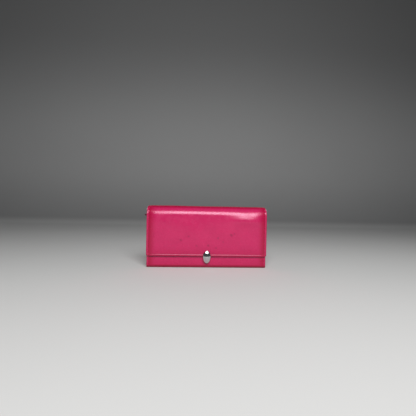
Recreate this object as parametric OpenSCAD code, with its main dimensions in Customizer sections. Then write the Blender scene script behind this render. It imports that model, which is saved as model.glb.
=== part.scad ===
// Long wallet: a folded leather cover that rolls over an accordion of two full-length
// compartments, a zipped coin pocket between them and two columns of card slots.
// Origin: centre of the base, on the surface it stands on. +X runs along the wallet,
// +Z is up and the flap's face looks towards -Y.

/* [Outer size] */
// Width of the flap and of the rolled top
flap_w = 195; // [190:1:205]
// Width of the body under the flap
body_w = 194; // [190:1:204]
// Height from the base to the top of the roll
height = 100; // [98:1:108]
// Height of the flap's lower edge above the base
flap_edge_z = 18.5; // [16:0.5:20]
// Height of the front panel's upper edge
front_top_z = 80; // [76:1:80]

/* [Rolled top] */
// Outer radius of the roll at the back
rear_r = 8; // [7:0.5:9]
// Length of the short flat inside the rear roll
rear_flat = 2; // [1.5:0.5:2.5]
// Outer radius of the roll at the front
front_r = 14; // [12:0.5:14.5]
// Length of the short flat inside the front roll
front_flat = 1.5; // [1:0.5:2]

/* [Leather] */
// Thickness of the outer leather
leather_t = 1.2; // [1:0.1:1.4]
// Thickness of the lining leather
lining_t = 0.6; // [0.5:0.1:0.7]
// Thickness of the stiffening board
board_t = 0.5; // [0.4:0.1:0.6]
// Width of the cover left round the edge of a lining
lining_inset = 1; // [0.5:0.5:2]

/* [Compartments] */
// Clear depth of each full-length compartment
bill_gap = 4.8; // [4.6:0.2:6]
// Clear depth inside the coin pocket
coin_gap = 5.8; // [5.8:0.2:7]
// Thickness of the coin pocket's walls
coin_wall_t = 0.7; // [0.6:0.1:0.8]
// Width of the coin pocket
coin_w = 186; // [184:1:188]
// Height of the coin pocket's walls
coin_top_z = 80.5; // [79:0.5:81]

/* [Card slots] */
// Slots in each column
tiers = 4; // [4:1:4]
// Width of one card slot
slot_w = 92; // [90:1:92]
// Thickness of one slot's leather
tier_t = 0.5; // [0.4:0.1:0.5]
// Height of the highest slot's mouth
mouth_z = 86; // [82:1:87]
// Drop from one mouth to the next
mouth_step = 9; // [7:1:10]

/* [Gussets] */
// How far a side fold reaches into the wallet
fold_depth = 14; // [12:1:15]
// Thickness of a gusset's leather
gusset_t = 0.6; // [0.5:0.1:0.7]
// Height of the gussets' upper edge
gusset_top_z = 78; // [72:1:79]

/* [Zip] */
// Tooth pitch along one row
tooth_pitch = 2.4; // [2:0.1:2.6]
// Length of the pull tab from its pivot
pull_l = 14; // [12:0.5:14]
// Place of the slider when the zip is closed
slider_x = -86.5; // [-86.5:0.5:-84]

/* [Clasp] */
// Width of the oval dome
dome_w = 11.4; // [11:0.2:12.4]
// Height of the oval dome
dome_h = 18.9; // [18:0.1:20]
// How far the dome stands out from the flap
dome_proud = 5; // [4.6:0.1:5.4]
// Height of the dome's centre above the base
dome_z = 17; // [16:0.5:18]
// Height of the press stud above the base
snap_z = 12.8; // [12:0.2:13.4]

/* [Hidden] */
$fn = 48;

// Colours
PINK = [0.77, 0.20, 0.40];
PINK_LINING = [0.70, 0.16, 0.35];
PINK_SUEDE = [0.62, 0.13, 0.30];
BOARD = [0.72, 0.66, 0.56];
TAPE = [0.45, 0.10, 0.22];
METAL = [0.75, 0.75, 0.77];
BRASS = [0.78, 0.66, 0.40];

// Clearances
clear = 0.3;
flap_gap = 0.4;
bill_slit = 0.2;
rivet_clear = 0.05;

// Layers from the middle of the coin pocket to the back
coin_y = coin_gap / 2 + coin_wall_t;
tier_front_y = coin_y + bill_gap;
tier_back_y = tier_front_y + tiers * tier_t;
backing_y = tier_back_y + lining_t;
back_lining_y = backing_y + bill_slit;
back_board_y = back_lining_y + lining_t;
back_cover_y = back_board_y + board_t;
back_y = back_cover_y + leather_t;

// Layers from the middle of the coin pocket to the front
front_lining_y = -(coin_y + bill_gap);
front_board_y = front_lining_y - lining_t;
front_cover_y = front_board_y - board_t;
front_y = front_cover_y - leather_t;
flap_lining_y = front_y - flap_gap;
flap_board_y = flap_lining_y - lining_t;
flap_cover_y = flap_board_y - board_t;
flap_y = flap_cover_y - leather_t;

// The rolled top: four arcs of 45 degrees, numbered from the back, cut at mid-arc.
// Each centre is [y, z].
diagonal = sin(45);
arc_1 = [back_y - rear_r, height - rear_r - diagonal * rear_flat];
arc_2 = arc_1 + rear_flat * [-diagonal, diagonal];
arc_3 = [flap_y + front_r + diagonal * front_flat, height - front_r];
arc_4 = arc_3 - front_flat * [diagonal, diagonal];
rear_cut = asin(clear / 2 / rear_r);
front_cut = asin(clear / 2 / front_r);

// Upper ends of the boards, where the plain panels stop short of the rolls
back_board_top = arc_1[1] - 2.4;
flap_board_top = arc_4[1] - 1.4;
board_inset = 3;

// Base
base_lining_z = leather_t + lining_t;
floor_z = base_lining_z + 0.4;
base_front_y = front_lining_y + clear;

// Card slots
slot_x = 1;
slot_floor_z = 3;

// Gussets
gusset_x = coin_w / 2 + 1.4;

// Zip, from the tapes' lips outwards
zip_end_x = 84;
lip_in_y = 1.8;
tape_t = 0.5;
tape_y = coin_gap / 2;
lip_z = coin_top_z + 0.4;
tape_drop = 11;
tooth_in_y = 0.45;
tooth_root_y = 1.2;
tooth_z = coin_top_z - 0.1;
tooth_h = 1.5;
stop_l = 1;
slider_l = 7.2;
slider_w = 5.2;
plate_t = 0.8;
plate_z = tooth_z + tooth_h + 0.4;
under_z = tooth_z - 0.4;
pivot_z = plate_z + plate_t + 0.9;
bridge_half = 2.4;
bridge_t = 1.2;
pull_t = 0.9;
pull_half = 2.4;
pull_window = 4;

// Clasp and press stud
dome_squeeze = 0.04;
dome_sink = dome_w / 2 - dome_proud;
rivet_x = 2.6;
rivet_z = 22.4;
rivet_r = 0.9;
rivet_bed = 2;
backplate = [9.6, 6.4];
socket_r = 3.4;
socket_bore_r = 2.8;
socket_bed = 1.5;
socket_mouth_y = front_y - 2 * clear;
stud_flange_r = 3.2;
stud_flange_t = 0.3;
stud_post_r = 1.4;
stud_head_r = 1.8;
stud_l = 2.9;
stud_head_l = 0.7;
spring_wire_r = 0.25;
snap_shank_r = 1.2;
washer_r = 4;

// A slab across the wallet from y0 to y1 and z0 to z1, with rounded lower corners
module panel(w, y0, y1, z0, z1, r = 1.5) {
    translate([0, y1, 0])
    rotate([90, 0, 0])
    linear_extrude(y1 - y0) {
        translate([-w / 2, z0 + r])
        square([w, z1 - z0 - r]);
        translate([r - w / 2, z0])
        square([w - 2 * r, r]);
        for (side = [-1, 1])
            translate([side * (w / 2 - r), z0 + r])
            circle(r);
    }
}

// A box between two corners
module block(a, b) {
    translate(a)
    cube(b - a);
}

// A cylinder along Y
module rod_y(r, y0, y1, x = 0, z = 0) {
    translate([x, y0, z])
    rotate([-90, 0, 0])
    cylinder(r = r, h = y1 - y0);
}

// Draws a profile in the YZ plane and runs it across the wallet
module across(w) {
    rotate([90, 0, 90])
    linear_extrude(w, center = true)
    children();
}

// A layer of a roll's arc, between two depths below the outer face and two angles
module arc_layer(centre, r, d0, d1, a0, a1) {
    reach = 2 * r;
    translate(centre)
    intersection() {
        difference() {
            circle(r - d0);
            circle(r - d1);
        }
        polygon([
            [0, 0],
            reach * [cos(a0), sin(a0)],
            reach * [cos(a1), sin(a1)]
        ]);
    }
}

// A layer of the short flat that leaves an arc at angle a
module flat_layer(centre, r, d0, d1, a, l) {
    translate(centre)
    rotate(a)
    translate([r - d1, 0])
    square([d1 - d0, l]);
}

// The four cut pieces of the roll, for a layer between two depths
module back_roll(d0, d1, z0) {
    translate([back_y - d1, z0])
    square([d1 - d0, arc_1[1] - z0]);
    arc_layer(arc_1, rear_r, d0, d1, 0, 22.5 - rear_cut);
}

module rear_roll(d0, d1) {
    arc_layer(arc_1, rear_r, d0, d1, 22.5 + rear_cut, 45);
    flat_layer(arc_1, rear_r, d0, d1, 45, rear_flat);
    arc_layer(arc_2, rear_r, d0, d1, 45, 67.5 - rear_cut);
}

module top_roll(d0, d1) {
    arc_layer(arc_2, rear_r, d0, d1, 67.5 + rear_cut, 90);
    translate([arc_3[0], height - d1])
    square([arc_2[0] - arc_3[0], d1 - d0]);
    arc_layer(arc_3, front_r, d0, d1, 90, 112.5 - front_cut);
}

module front_roll(d0, d1) {
    arc_layer(arc_3, front_r, d0, d1, 112.5 + front_cut, 135);
    flat_layer(arc_3, front_r, d0, d1, 135, front_flat);
    arc_layer(arc_4, front_r, d0, d1, 135, 157.5 - front_cut);
}

module flap_roll(d0, d1, z0) {
    arc_layer(arc_4, front_r, d0, d1, 157.5 + front_cut, 180);
    translate([flap_y + d0, z0])
    square([d1 - d0, arc_4[1] - z0]);
}

cover_in = leather_t;
roll_lining_in = leather_t + lining_t;
lining_flap_w = flap_w - 2 * lining_inset;
lining_body_w = body_w - 2 * lining_inset;
board_w = body_w - 2 * board_inset;

// Back of the wallet
module back_cover() {
    color(PINK) {
        panel(body_w, back_cover_y, back_y, 0, arc_1[1]);
        across(body_w)
        back_roll(0, cover_in, arc_1[1] - 1);
    }
}

module back_board() {
    color(BOARD)
    panel(board_w, back_board_y, back_cover_y, base_lining_z, back_board_top);
}

module back_lining() {
    color(PINK_LINING)
    across(lining_body_w) {
        translate([back_lining_y, base_lining_z])
        square([lining_t, back_board_top + lining_t - base_lining_z]);
        translate([back_lining_y, back_board_top])
        square([back_cover_y - back_lining_y, lining_t]);
        back_roll(cover_in, roll_lining_in, back_board_top);
    }
}

module base_cover() {
    color(PINK)
    block([-body_w / 2, base_front_y, 0], [body_w / 2, back_cover_y, leather_t]);
}

module base_lining() {
    color(PINK_LINING)
    block(
        [-lining_body_w / 2, base_front_y, leather_t],
        [lining_body_w / 2, back_cover_y, base_lining_z]
    );
}

// Card slots, numbered from the highest mouth at the back to the lowest at the front
module card_backing() {
    color(PINK_LINING)
    panel(2 * (slot_x + slot_w), tier_back_y, backing_y, base_lining_z, mouth_z + 1);
}

module card_slot(side, tier) {
    slot_back_y = tier_back_y - (tier - 1) * tier_t;
    x = side * (slot_x + slot_w / 2);
    color(PINK_LINING)
    translate([x, 0, 0])
    panel(slot_w, slot_back_y - tier_t, slot_back_y, slot_floor_z, mouth_z - (tier - 1) * mouth_step);
}

// A V-folded side gusset between two panels' faces, with its fold inwards
module gusset(side, y0, y1) {
    y_mid = (y0 + y1) / 2;
    bite = fold_depth * gusset_t / (y1 - y_mid);
    color(PINK_SUEDE)
    translate([0, 0, floor_z])
    linear_extrude(gusset_top_z - floor_z)
    polygon([
        [side * gusset_x, y0],
        [side * (gusset_x - fold_depth), y_mid],
        [side * gusset_x, y1],
        [side * gusset_x, y1 - gusset_t],
        [side * (gusset_x - fold_depth + bite), y_mid],
        [side * gusset_x, y0 + gusset_t]
    ]);
}

// A rear gusset's flange, turned back beside the card slots and sewn to the lining
module rear_gusset(side) {
    gusset(side, coin_y + clear, tier_front_y - 0.2);
    edges = [side * (gusset_x - gusset_t), side * gusset_x];
    color(PINK_SUEDE)
    block(
        [min(edges), tier_front_y - 0.2 - gusset_t, floor_z],
        [max(edges), back_lining_y, gusset_top_z]
    );
}

// Rolled top
module spine_rear_cover() {
    color(PINK)
    across(flap_w)
    rear_roll(0, cover_in);
}

module spine_rear_lining() {
    color(PINK_LINING)
    across(lining_flap_w)
    rear_roll(cover_in, roll_lining_in);
}

module spine_top_cover() {
    color(PINK)
    across(flap_w)
    top_roll(0, cover_in);
}

module spine_top_lining() {
    color(PINK_LINING)
    across(lining_flap_w)
    top_roll(cover_in, roll_lining_in);
}

module spine_front_cover() {
    color(PINK)
    across(flap_w)
    front_roll(0, cover_in);
}

module spine_front_lining() {
    color(PINK_LINING)
    across(lining_flap_w)
    front_roll(cover_in, roll_lining_in);
}

// Flap
module flap_cover() {
    color(PINK)
    difference() {
        union() {
            panel(flap_w, flap_y, flap_cover_y, flap_edge_z, arc_4[1]);
            across(flap_w)
            flap_roll(0, cover_in, arc_4[1] - 1);
        }
        for (side = [-1, 1])
            rod_y(rivet_r + rivet_clear, flap_y - 1, flap_cover_y + 1, side * rivet_x, rivet_z);
    }
}

module flap_board() {
    notch = backplate / 2 + [0.4, 0.4];
    color(BOARD)
    difference() {
        panel(board_w, flap_cover_y, flap_board_y, flap_edge_z + 0.6, flap_board_top);
        block(
            [-notch[0], flap_cover_y - 1, flap_edge_z - 1],
            [notch[0], flap_board_y + 1, rivet_z + notch[1]]
        );
    }
}

module flap_lining() {
    color(PINK_LINING)
    across(lining_flap_w) {
        translate([flap_board_y, flap_edge_z + 0.5])
        square([lining_t, flap_board_top + lining_t - flap_edge_z - 0.5]);
        translate([flap_cover_y, flap_board_top])
        square([flap_lining_y - flap_cover_y, lining_t]);
        flap_roll(cover_in, roll_lining_in, flap_board_top);
    }
}

// Clasp: an oval dome, a little narrower at its foot, riveted through the flap
function dome_point(t) = [
    max(0, dome_w / 2 * cos(t) * (1 + dome_squeeze * sin(t))),
    dome_h / 2 * sin(t)
];

module clasp_dome() {
    color(METAL)
    difference() {
        translate([0, flap_y + dome_sink, dome_z])
        rotate_extrude()
        polygon([for (t = [-90:7.5:90]) dome_point(t)]);
        block([-dome_w, flap_y, 0], [dome_w, 0, dome_z + dome_h]);
        for (side = [-1, 1])
            rod_y(rivet_r + rivet_clear, flap_y - rivet_bed, flap_y + 1, side * rivet_x, rivet_z);
        rod_y(socket_r + rivet_clear, flap_y - socket_bed, flap_y + 1, 0, snap_z);
    }
}

module clasp_backplate() {
    color(BRASS)
    difference() {
        block(
            [-backplate[0] / 2, flap_cover_y, rivet_z - backplate[1] / 2],
            [backplate[0] / 2, flap_board_y, rivet_z + backplate[1] / 2]
        );
        for (side = [-1, 1])
            rod_y(rivet_r + rivet_clear, flap_y, flap_board_y + 1, side * rivet_x, rivet_z);
    }
}

module clasp_rivets() {
    color(BRASS)
    for (side = [-1, 1])
        rod_y(rivet_r, flap_y - rivet_bed, flap_board_y, side * rivet_x, rivet_z);
}

module snap_socket() {
    color(BRASS)
    difference() {
        rod_y(socket_r, flap_y - socket_bed, socket_mouth_y, 0, snap_z);
        rod_y(socket_bore_r, flap_y - socket_bed + 0.5, socket_mouth_y + 1, 0, snap_z);
    }
}

module snap_spring() {
    color(METAL)
    translate([0, socket_mouth_y - 0.8, snap_z])
    rotate([90, 0, 0])
    rotate_extrude()
    translate([socket_bore_r - spring_wire_r, 0])
    circle(spring_wire_r);
}

// Coin pocket
module coin_wall(y0, y1) {
    color(PINK_LINING)
    panel(coin_w, y0, y1, floor_z, coin_top_z);
}

module coin_floor() {
    color(PINK_SUEDE)
    block(
        [-coin_w / 2 + coin_wall_t, -coin_gap / 2, floor_z],
        [coin_w / 2 - coin_wall_t, coin_gap / 2, floor_z + coin_wall_t]
    );
}

module coin_side(side) {
    edges = [side * coin_w / 2, side * (coin_w / 2 - coin_wall_t)];
    color(PINK_SUEDE)
    block(
        [min(edges), -coin_gap / 2, floor_z + 1.5],
        [max(edges), coin_gap / 2, coin_top_z - 2]
    );
}

// Zip: a folded tape on each wall, its lip turned in towards the teeth
module zip_tape(side) {
    zip_w = coin_w - 2 * coin_wall_t - 0.4;
    color(TAPE)
    across(zip_w)
    mirror([side < 0 ? 1 : 0, 0]) {
        translate([tape_y - tape_t, lip_z + tape_t - tape_drop])
        square([tape_t, tape_drop]);
        translate([lip_in_y, lip_z])
        square([tape_y - lip_in_y, tape_t]);
    }
}

module zip_teeth(side) {
    x0 = slider_x - slider_l / 2 - 0.1;
    offset_x = side > 0 ? 0 : tooth_pitch / 2;
    count = floor((zip_end_x - x0 - tooth_pitch) / tooth_pitch);
    tooth_w = tooth_pitch * 0.42;
    teeth = [
        for (i = [0:count - 1])
        let (x = x0 + offset_x + i * tooth_pitch)
        each [
            [x, side * tooth_root_y],
            [x, side * tooth_in_y],
            [x + tooth_w, side * tooth_in_y],
            [x + tooth_w, side * tooth_root_y]
        ]
    ];
    x1 = zip_end_x - 0.2;
    rim = [
        [x1, side * tooth_root_y],
        [x1, side * lip_in_y],
        [x0 - 0.1, side * lip_in_y],
        [x0 - 0.1, side * tooth_root_y]
    ];
    color(METAL)
    translate([0, 0, tooth_z])
    linear_extrude(tooth_h)
    polygon(concat(teeth, rim));
}

module zip_stops() {
    x0 = slider_x - slider_l / 2 - 0.5;
    color(METAL) {
        for (edges = [[-lip_in_y, -tooth_in_y], [tooth_in_y, lip_in_y]])
            block([x0 - stop_l, edges[0], tooth_z], [x0, edges[1], tooth_z + tooth_h]);
        block(
            [zip_end_x, -lip_in_y, tooth_z],
            [zip_end_x + stop_l, lip_in_y, tooth_z + tooth_h]
        );
    }
}

module slider_plate(w, z) {
    translate([0, 0, z])
    linear_extrude(plate_t)
    polygon([
        [-slider_l / 2, -w / 2],
        [0.5, -w / 2],
        [slider_l / 2, 0.8 - w / 2],
        [slider_l / 2, w / 2 - 0.8],
        [0.5, w / 2],
        [-slider_l / 2, w / 2]
    ]);
}

module zip_slider() {
    flange_z = lip_z + tape_t + clear;
    color(METAL)
    translate([slider_x, 0, 0]) {
        slider_plate(slider_w, plate_z);
        slider_plate(4, under_z - plate_t);
        block([-3, -0.15, under_z], [-1, 0.15, plate_z]);
        for (edges = [[-slider_w / 2, -slider_w / 2 + 0.5], [slider_w / 2 - 0.5, slider_w / 2]])
            block([-slider_l / 2, edges[0], flange_z], [0.5, edges[1], plate_z]);
        difference() {
            block(
                [-bridge_half, -bridge_t / 2, plate_z + plate_t],
                [bridge_half, bridge_t / 2, pivot_z + 1.7]
            );
            block([-1.5, -bridge_t, plate_z], [1.5, bridge_t, pivot_z + 0.9]);
        }
    }
}

module zip_pull() {
    color(METAL)
    translate([slider_x, 0, pivot_z]) {
        rod_y(pull_t / 2, -pull_half + 0.2, pull_half - 0.2);
        translate([0, 0, -pull_t / 2])
        linear_extrude(pull_t)
        difference() {
            union() {
                translate([pull_half - pull_l, -pull_half])
                square([pull_l - pull_half, 2 * pull_half]);
                translate([pull_half - pull_l, 0])
                circle(pull_half);
            }
            translate([-pull_window, -pull_t])
            square([pull_window + 1, 2 * pull_t]);
            translate([pull_half - pull_l, 0])
            circle(0.8);
        }
    }
}

// Front panel
module front_cover() {
    color(PINK)
    difference() {
        panel(body_w, front_y, front_cover_y, 0, front_top_z);
        rod_y(snap_shank_r + rivet_clear, front_y - 1, front_cover_y + 1, 0, snap_z);
    }
}

module front_board() {
    color(BOARD)
    difference() {
        panel(board_w, front_cover_y, front_board_y, base_lining_z, front_top_z - 2);
        rod_y(washer_r + 0.2, front_cover_y - 1, front_board_y + 1, 0, snap_z);
    }
}

module front_lining() {
    color(PINK_LINING)
    panel(lining_body_w, front_board_y, front_lining_y, leather_t, front_top_z - 0.6);
}

module front_slip_pocket() {
    color(PINK_LINING)
    panel(
        2 * (gusset_x - fold_depth) - 4,
        front_lining_y, front_lining_y + 0.4, floor_z + 1, front_top_z - 22
    );
}

module snap_stud() {
    flange_y = front_y - stud_flange_t;
    tip_y = flange_y - stud_l + stud_flange_t;
    color(BRASS) {
        rod_y(stud_flange_r, flange_y, front_y, 0, snap_z);
        rod_y(stud_post_r, tip_y, flange_y, 0, snap_z);
        rod_y(stud_head_r, tip_y, tip_y + stud_head_l, 0, snap_z);
    }
}

module snap_rivet() {
    color(BRASS)
    rod_y(snap_shank_r, front_y, front_board_y, 0, snap_z);
}

module snap_washer() {
    color(BRASS)
    difference() {
        rod_y(washer_r, front_cover_y, front_board_y, 0, snap_z);
        rod_y(snap_shank_r + rivet_clear, front_cover_y - 1, front_board_y + 1, 0, snap_z);
    }
}

back_cover();
back_board();
back_lining();
base_cover();
base_lining();
card_backing();
card_slot(-1, 1);  // card_slot_left_1
card_slot(-1, 2);  // card_slot_left_2
card_slot(-1, 3);  // card_slot_left_3
card_slot(-1, 4);  // card_slot_left_4
card_slot(1, 1);  // card_slot_right_1
card_slot(1, 2);  // card_slot_right_2
card_slot(1, 3);  // card_slot_right_3
card_slot(1, 4);  // card_slot_right_4
rear_gusset(-1);  // gusset_rear_left
rear_gusset(1);  // gusset_rear_right
spine_rear_cover();
spine_rear_lining();
spine_top_cover();
spine_top_lining();
spine_front_cover();
spine_front_lining();
flap_cover();
flap_board();
flap_lining();
clasp_dome();
clasp_backplate();
clasp_rivets();
snap_socket();
snap_spring();
coin_wall(coin_gap / 2, coin_y);  // coin_wall_rear
coin_wall(-coin_y, -coin_gap / 2);  // coin_wall_front
coin_floor();
coin_side(-1);  // coin_side_left
coin_side(1);  // coin_side_right
zip_tape(1);  // zip_tape_rear
zip_tape(-1);  // zip_tape_front
zip_teeth(1);  // zip_teeth_rear
zip_teeth(-1);  // zip_teeth_front
zip_stops();
gusset(-1, front_lining_y + clear, -coin_y);  // gusset_front_left
gusset(1, front_lining_y + clear, -coin_y);  // gusset_front_right
zip_slider();
zip_pull();
front_cover();
front_board();
front_lining();
front_slip_pocket();
snap_stud();
snap_rivet();
snap_washer();
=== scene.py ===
"""Looks of the long wallet: leather, cloth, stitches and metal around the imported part.

Lengths are in millimetres until a mesh is made. +X runs along the wallet, +Z is up and
the flap's face looks towards -Y.
"""

import math

import bmesh
import bpy
import numpy as np
from mathutils import Matrix, Vector


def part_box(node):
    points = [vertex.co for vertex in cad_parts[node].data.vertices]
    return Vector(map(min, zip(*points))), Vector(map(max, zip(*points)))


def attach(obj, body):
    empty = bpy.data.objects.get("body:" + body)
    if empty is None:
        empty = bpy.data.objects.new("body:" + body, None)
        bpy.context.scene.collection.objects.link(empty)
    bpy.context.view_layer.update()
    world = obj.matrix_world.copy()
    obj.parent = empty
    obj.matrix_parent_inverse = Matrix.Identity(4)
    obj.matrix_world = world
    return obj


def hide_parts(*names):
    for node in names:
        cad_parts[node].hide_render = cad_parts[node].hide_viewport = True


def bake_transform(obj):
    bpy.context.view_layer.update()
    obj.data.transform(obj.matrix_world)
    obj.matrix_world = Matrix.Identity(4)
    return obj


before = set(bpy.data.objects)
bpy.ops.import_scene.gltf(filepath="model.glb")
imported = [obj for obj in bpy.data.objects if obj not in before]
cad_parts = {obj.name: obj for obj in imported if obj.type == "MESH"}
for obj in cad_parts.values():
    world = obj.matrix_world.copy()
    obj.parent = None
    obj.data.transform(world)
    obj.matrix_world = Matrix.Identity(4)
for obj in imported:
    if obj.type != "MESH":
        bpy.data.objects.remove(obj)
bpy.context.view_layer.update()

MM = 0.001
UV_MAP = "leather_mm"


def box(node):
    """Lowest and highest corner of a CAD node, in millimetres."""
    low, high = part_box(node)
    return np.array(low) / MM, np.array(high) / MM


# The photo's flap ends a little higher than the CAD's
EDGE_HIGHER = 0.4

# Places, from the CAD parts
FLAP_LOW, FLAP_HIGH = box("flap_cover")
BACK_HIGH = box("back_cover")[1]
BASE_LOW, BASE_HIGH = box("base_cover")
FRONT_LOW, FRONT_HIGH = box("front_cover")
LINING_LOW, LINING_HIGH = box("front_lining")
BOARD_LOW, BOARD_HIGH = box("flap_board")
WALL_HIGH = box("coin_wall_rear")[1]
HALF_FLAP = FLAP_HIGH[0]
HALF_BODY = BACK_HIGH[0]
HALF_LINING = LINING_HIGH[0]
HALF_COIN = WALL_HIGH[0]
BACK_Y = BACK_HIGH[1]
FLAP_Y = BOARD_LOW[1] - BASE_HIGH[2]
FRONT_Y = FRONT_LOW[1]
TOP_Z = box("spine_top_cover")[1][2]
EDGE_Z = FLAP_LOW[2] + EDGE_HIGHER
FRONT_TOP_Z = FRONT_HIGH[2]
LEATHER_T = BASE_HIGH[2]
LINING_T = LINING_HIGH[1] - LINING_LOW[1]
BOARD_T = round(BOARD_HIGH[1] - BOARD_LOW[1], 3)

# The rolled top: a rear and a front roll, each two 45 degree arcs round a short flat
REAR_R = 8
REAR_FLAT = 2
FRONT_R = 14
FRONT_FLAT = 1.5
SLANT = math.sin(math.radians(45))
REAR_REACH = REAR_R + SLANT * REAR_FLAT
FRONT_REACH = FRONT_R + SLANT * FRONT_FLAT
TOP_FLAT = BACK_Y - REAR_REACH - FLAP_Y - FRONT_REACH

# Leather edges and seams
REAR_FOOT_R = 2
FRONT_FOOT_R = 2
CORNER_R = 3
FOOT_CORNER_R = 1.5
WAIST = 1.1
WAIST_RUN = 6
WIDER_FROM_Z = 76
WIDER_RUN = 14
WELT_W = 3.2
WELT_H = 0.22
GROOVE_H = 0.3
GROOVE_W = 0.55
PAD_SIDE = 1.25
PAD_SIDE_RUN = 4.5
PAD_EDGE = 0.55
PAD_EDGE_RUN = 5.0
COVER_WAVE = 0.09
PANEL_WAVE = 0.07
DROOP = 0.4
TUCK = 0.55
TUCK_RUN = 5

# Stitches
STITCH_PITCH = 3
STITCH_L = 2.2
STITCH_R = 0.2
NUDGE = 0.01


# ---- runs and sheets


class Run:
    """A line of straights and left turns in a plane, measured along a sheet's outer face."""

    def __init__(self, start, heading, parts):
        self.legs = []
        self.marks = []
        place = np.array(start, float)
        turned = math.radians(heading)
        along = 0.0
        for length, angle in parts:
            angle = math.radians(angle)
            self.legs.append((place, turned, length, angle))
            self.marks.append(along)
            place, turned = self.walk(place, turned, length, angle, np.array(length))
            along += length
        self.marks.append(along)

    @staticmethod
    def walk(place, turned, length, angle, go):
        """Point and heading after going some way along one leg."""
        if angle == 0:
            ahead = np.array([math.cos(turned), math.sin(turned)])
            return place + go[..., None] * ahead, turned + 0 * go
        r = length / angle
        heading = turned + go / r
        centre = place + r * np.array([-math.sin(turned), math.cos(turned)])
        return centre + r * np.stack([np.sin(heading), -np.cos(heading)], -1), heading

    def at(self, s):
        """Points on the line and its outward normals at the lengths s."""
        s = np.asarray(s, float)
        point = np.zeros(s.shape + (2,))
        normal = np.zeros(s.shape + (2,))
        for i, leg in enumerate(self.legs):
            here = s >= self.marks[i] if i else np.ones(s.shape, bool)
            p, h = self.walk(*leg, s[here] - self.marks[i])
            point[here] = p
            normal[here] = np.stack([np.sin(h), -np.cos(h)], -1)
        return point, normal


def arc(r, degrees):
    """A leg that turns left."""
    return (r * math.radians(degrees), degrees)


def across(run, half=None, full=1.0):
    """Placing of a sheet whose run lies in the YZ plane.

    half gives its half width at a height, where u is full at the side.
    """

    def place(u, s, depth):
        p, n = run.at(s)
        p = p - np.asarray(depth)[..., None] * n
        x = u if half is None else u * half(p[..., 1]) / full
        zero = np.zeros(np.shape(x))
        return np.stack([x, p[..., 0], p[..., 1]], -1), np.stack([zero, n[..., 0], n[..., 1]], -1)

    return place


def mirrored(place, axis):
    """The same sheet, mirrored in X (0) or Y (1)."""
    flip = np.ones(3)
    flip[axis] = -1

    def other(u, s, depth):
        p, n = place(u, s, depth)
        return p * flip, n * flip

    return other


def smooth(t):
    """An even step from 0 to 1."""
    t = np.clip(t, 0, 1)
    return t * t * (3 - 2 * t)


def foot(z):
    """How much a panel narrows at its rounded lower corners."""
    up = np.clip(FOOT_CORNER_R - z, 0, FOOT_CORNER_R)
    return FOOT_CORNER_R - np.sqrt(FOOT_CORNER_R**2 - up**2)


def waist(z):
    """How much the roll narrows at its top, where the leather is stretched round."""
    return WAIST * (np.clip(z - TOP_Z + WAIST_RUN, 0, None) / WAIST_RUN) ** 2


def back_half(z):
    """Half width of the back's cover, a little wider at the roll than at the body."""
    wider = (HALF_FLAP - HALF_BODY) * smooth((z - WIDER_FROM_Z) / WIDER_RUN)
    return HALF_BODY + wider - foot(z) - waist(z)


def flap_half(z):
    return HALF_FLAP - waist(z)


def body_half(z):
    return HALF_BODY - foot(z)


COVER_LEGS = [
    (BACK_Y - REAR_FOOT_R - BASE_LOW[1], 0),
    arc(REAR_FOOT_R, 90),
    (TOP_Z - REAR_REACH - REAR_FOOT_R, 0),
    arc(REAR_R, 45), (REAR_FLAT, 0), arc(REAR_R, 45),
    (TOP_FLAT, 0),
    arc(FRONT_R, 45), (FRONT_FLAT, 0), arc(FRONT_R, 45),
    (TOP_Z - FRONT_REACH - EDGE_Z, 0),
]
COVER = Run((BASE_LOW[1], 0), 0, COVER_LEGS)
BACK_S, ARC_1, FLAT_1, ARC_2, TOP_S, ARC_3, FLAT_2, ARC_4, FLAP_S, EDGE_S = COVER.marks[2:]
CUT_1 = (FLAT_1 + ARC_2) / 2
CUT_2 = (TOP_S + ARC_3) / 2
CUT_3 = (FLAT_2 + ARC_4) / 2

PANEL_LEGS = [
    (FRONT_TOP_Z - FRONT_FOOT_R, 0),
    arc(FRONT_FOOT_R, 90),
    (BASE_LOW[1] - 0.3 - FRONT_Y - FRONT_FOOT_R, 0),
]
PANEL = Run((FRONT_Y, FRONT_TOP_Z), -90, PANEL_LEGS)
PANEL_FOOT, _, PANEL_END = PANEL.marks[1:]

back_place = across(COVER, back_half, HALF_FLAP)
cover_place = across(COVER, flap_half, HALF_FLAP)
panel_place = across(PANEL, body_half, HALF_BODY)

FINE_RIM = (0.1, 0.25, 0.45, 0.7, 1.0)


def lines(low, high, step, fine=(True, True), border=5.0):
    """Grid lines between two ends, closer together near a free end."""
    near = np.concatenate([FINE_RIM, np.arange(1.35, border + 0.1, 0.35)])
    near = near[near < (high - low) / 2]
    begin = low + np.append(0, near if fine[0] else [])
    end = high - np.append(0, near if fine[1] else [])
    a, b = begin[-1], end[-1]
    middle = np.linspace(a, b, max(2, int(math.ceil((b - a) / step)) + 1))
    return np.unique(np.round(np.concatenate([begin, end, middle]), 5))


def rim_distance(u, s, free):
    """Distances from the sides and from the free ends of a grid."""
    side = np.minimum(u - u.min(), u.max() - u)
    far = np.full(u.shape, 99.0)
    start = s - s.min() if free[0] else far
    end = s.max() - s if free[1] else far
    return side, start, end


def round_corners(u, s, side, start, end, radii):
    """Moves a grid's points so that its free corners are round, with a radius at each end."""
    radius = np.where(end < start, radii[1], radii[0])
    a = np.clip(1 - side / radius, 0, 1)
    b = np.clip(1 - np.minimum(start, end) / radius, 0, 1)
    inwards = radius * (1 - np.maximum(a, b) / np.maximum(np.hypot(a, b), 1e-9))
    away_u = np.sign(u - (u.min() + u.max()) / 2)
    away_s = np.where(end < start, 1, -1)
    return u - away_u * a * inwards, s - away_s * b * inwards


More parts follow.
